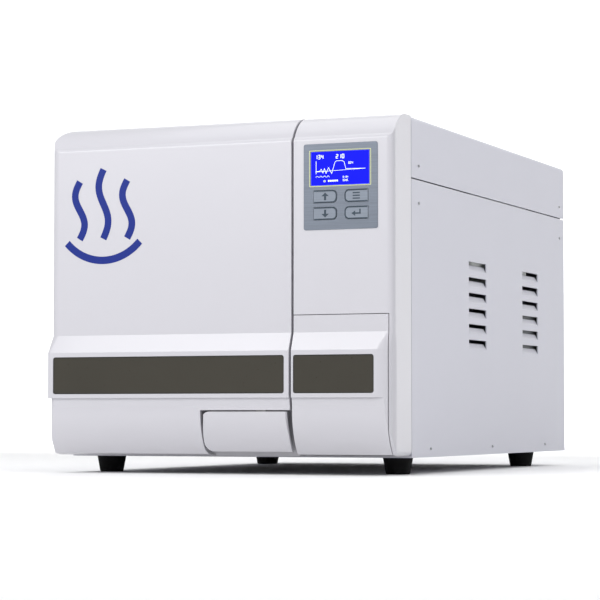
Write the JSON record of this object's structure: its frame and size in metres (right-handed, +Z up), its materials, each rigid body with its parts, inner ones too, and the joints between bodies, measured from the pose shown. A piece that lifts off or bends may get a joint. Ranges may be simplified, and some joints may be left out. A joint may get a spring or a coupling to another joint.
{
  "type": "benchtop autoclave",
  "caption": "Benchtop steam steriliser with a round chamber, left-hinged front door with paddle handle, bottom-hinged service flap and a small key panel.",
  "frame": {"origin": "on the table under the middle of the cabinet's box", "axes": "+X to the right seen from the front, +Y to the back, +Z up; the front faces -Y"},
  "size_m": [0.447, 0.7, 0.42],
  "materials": {
    "black_plastic": "fine texture",
    "brass": "machined",
    "brushed_plate": "brushed and tinted",
    "cap_plastic": "satin",
    "circuit_board": "solder mask",
    "copper": "drawn tube",
    "filter_plastic": "satin",
    "foot_rubber": "matte",
    "heater_silicone": "smooth",
    "insulation_fabric": "felt",
    "key_plastic": "satin",
    "lcd_glass": "backlit",
    "moulding_plastic": "satin gloss moulded plastic",
    "powder_coated_sheet": "fine powder coat",
    "pump_casting": "cast and painted",
    "silicone_rubber": "smooth",
    "smoked_plastic": "smoked gloss",
    "stainless_steel": "brushed",
    "tank_plastic": "translucent white",
    "tray_aluminium": "satin",
    "zinc_steel": "zinc plated"
  },
  "bodies": {
    "cabinet": {"air_filter": "filter_plastic", "base_chassis": "powder_coated_sheet", "cabinet_screws": "zinc_steel", "chamber_insulation": "insulation_fabric", "chamber_vessel": "stainless_steel", "clean_water_tank": "tank_plastic", "condenser": "tray_aluminium", "control_board": "circuit_board", "control_plate": "brushed_plate", "drain_couplings": "brass", "fan_frame": "black_plastic", "fascia": "moulding_plastic", "flap_hinge_rod": "zinc_steel", "foot_front_left": "foot_rubber", "foot_front_right": "foot_rubber", "foot_rear_left": "foot_rubber", "foot_rear_right": "foot_rubber", "front_bulkhead": "powder_coated_sheet", "heater_band": "heater_silicone", "hinge_brackets": "zinc_steel", "hinge_pins": "zinc_steel", "keypad_board": "circuit_board", "latch_keepers": "zinc_steel", "lcd_module": "circuit_board", "lcd_window": "lcd_glass", "mains_inlet": "black_plastic", "power_supply": "pump_casting", "rear_panel": "powder_coated_sheet", "safety_valve": "brass", "service_plate": "stainless_steel", "side_panel_left": "powder_coated_sheet", "side_panel_right": "powder_coated_sheet", "solenoid_valves": "brass", "steam_generator": "stainless_steel", "steam_pipes": "copper", "top_cover": "powder_coated_sheet", "tray_1": "tray_aluminium", "tray_2": "tray_aluminium", "tray_3": "tray_aluminium", "tray_rack": "tray_aluminium", "vacuum_pump": "pump_casting", "waste_water_tank": "tank_plastic"},
    "door": {"door_cover": "moulding_plastic", "door_trim_strip": "smoked_plastic", "door_inner_panel": "powder_coated_sheet", "door_gasket": "silicone_rubber", "door_plate": "stainless_steel", "door_yoke": "zinc_steel"},
    "handle": {"door_handle": "moulding_plastic", "handle_rod": "zinc_steel"},
    "lock": {"lock_bar": "zinc_steel"},
    "flap": {"service_flap": "moulding_plastic", "flap_trim_strip": "smoked_plastic"},
    "key_up": {"key_up": "key_plastic"},
    "key_menu": {"key_menu": "key_plastic"},
    "key_down": {"key_down": "key_plastic"},
    "key_enter": {"key_enter": "key_plastic"},
    "fan_rotor": {"fan_impeller": "black_plastic"},
    "filler_lid": {"filler_cap": "cap_plastic"},
    "rocker": {"mains_rocker": "black_plastic"}
  },
  "joints": [
    {"name": "door_hinge", "type": "hinge", "parent": "cabinet", "child": "door", "pos_m": [-0.211, -0.3165, 0.225], "axis": [0, 0, -1], "range_deg": [0, 95]},
    {"name": "handle_pivot", "type": "hinge", "parent": "door", "child": "handle", "pos_m": [0.038, -0.3392, 0.057], "axis": [-1, 0, 0], "range_deg": [0, 35]},
    {"name": "lock_slide", "type": "slide", "parent": "door", "child": "lock", "axis": [0, 0, -1], "range_m": [0, 0.007], "stiffness_N_per_m": 300, "springref_m": -0.01},
    {"name": "flap_hinge", "type": "hinge", "parent": "cabinet", "child": "flap", "pos_m": [0.16, -0.318, 0.031], "axis": [1, 0, 0], "range_deg": [0, 70]},
    {"name": "key_up_press", "type": "slide", "parent": "cabinet", "child": "key_up", "axis": [0, 1, 0], "range_m": [0, 0.001], "stiffness_N_per_m": 400},
    {"name": "key_menu_press", "type": "slide", "parent": "cabinet", "child": "key_menu", "axis": [0, 1, 0], "range_m": [0, 0.001], "stiffness_N_per_m": 400},
    {"name": "key_down_press", "type": "slide", "parent": "cabinet", "child": "key_down", "axis": [0, 1, 0], "range_m": [0, 0.001], "stiffness_N_per_m": 400},
    {"name": "key_enter_press", "type": "slide", "parent": "cabinet", "child": "key_enter", "axis": [0, 1, 0], "range_m": [0, 0.001], "stiffness_N_per_m": 400},
    {"name": "fan_spin", "type": "hinge", "parent": "cabinet", "child": "fan_rotor", "pos_m": [-0.02, 0.322, 0.29], "axis": [0, 1, 0], "continuous": true},
    {"name": "cap_turn", "type": "hinge", "parent": "cabinet", "child": "filler_lid", "pos_m": [0.15, 0.09, 0.415], "axis": [0, 0, 1], "range_deg": [0, 90]},
    {"name": "rocker_tilt", "type": "hinge", "parent": "cabinet", "child": "rocker", "pos_m": [0.165, 0.338, 0.12], "axis": [-1, 0, 0], "range_deg": [0, 12]}
  ],
  "couplings": [
    {"joint": "handle_pivot", "follows": "lock_slide", "rad_per_m": 86.957}
  ]
}
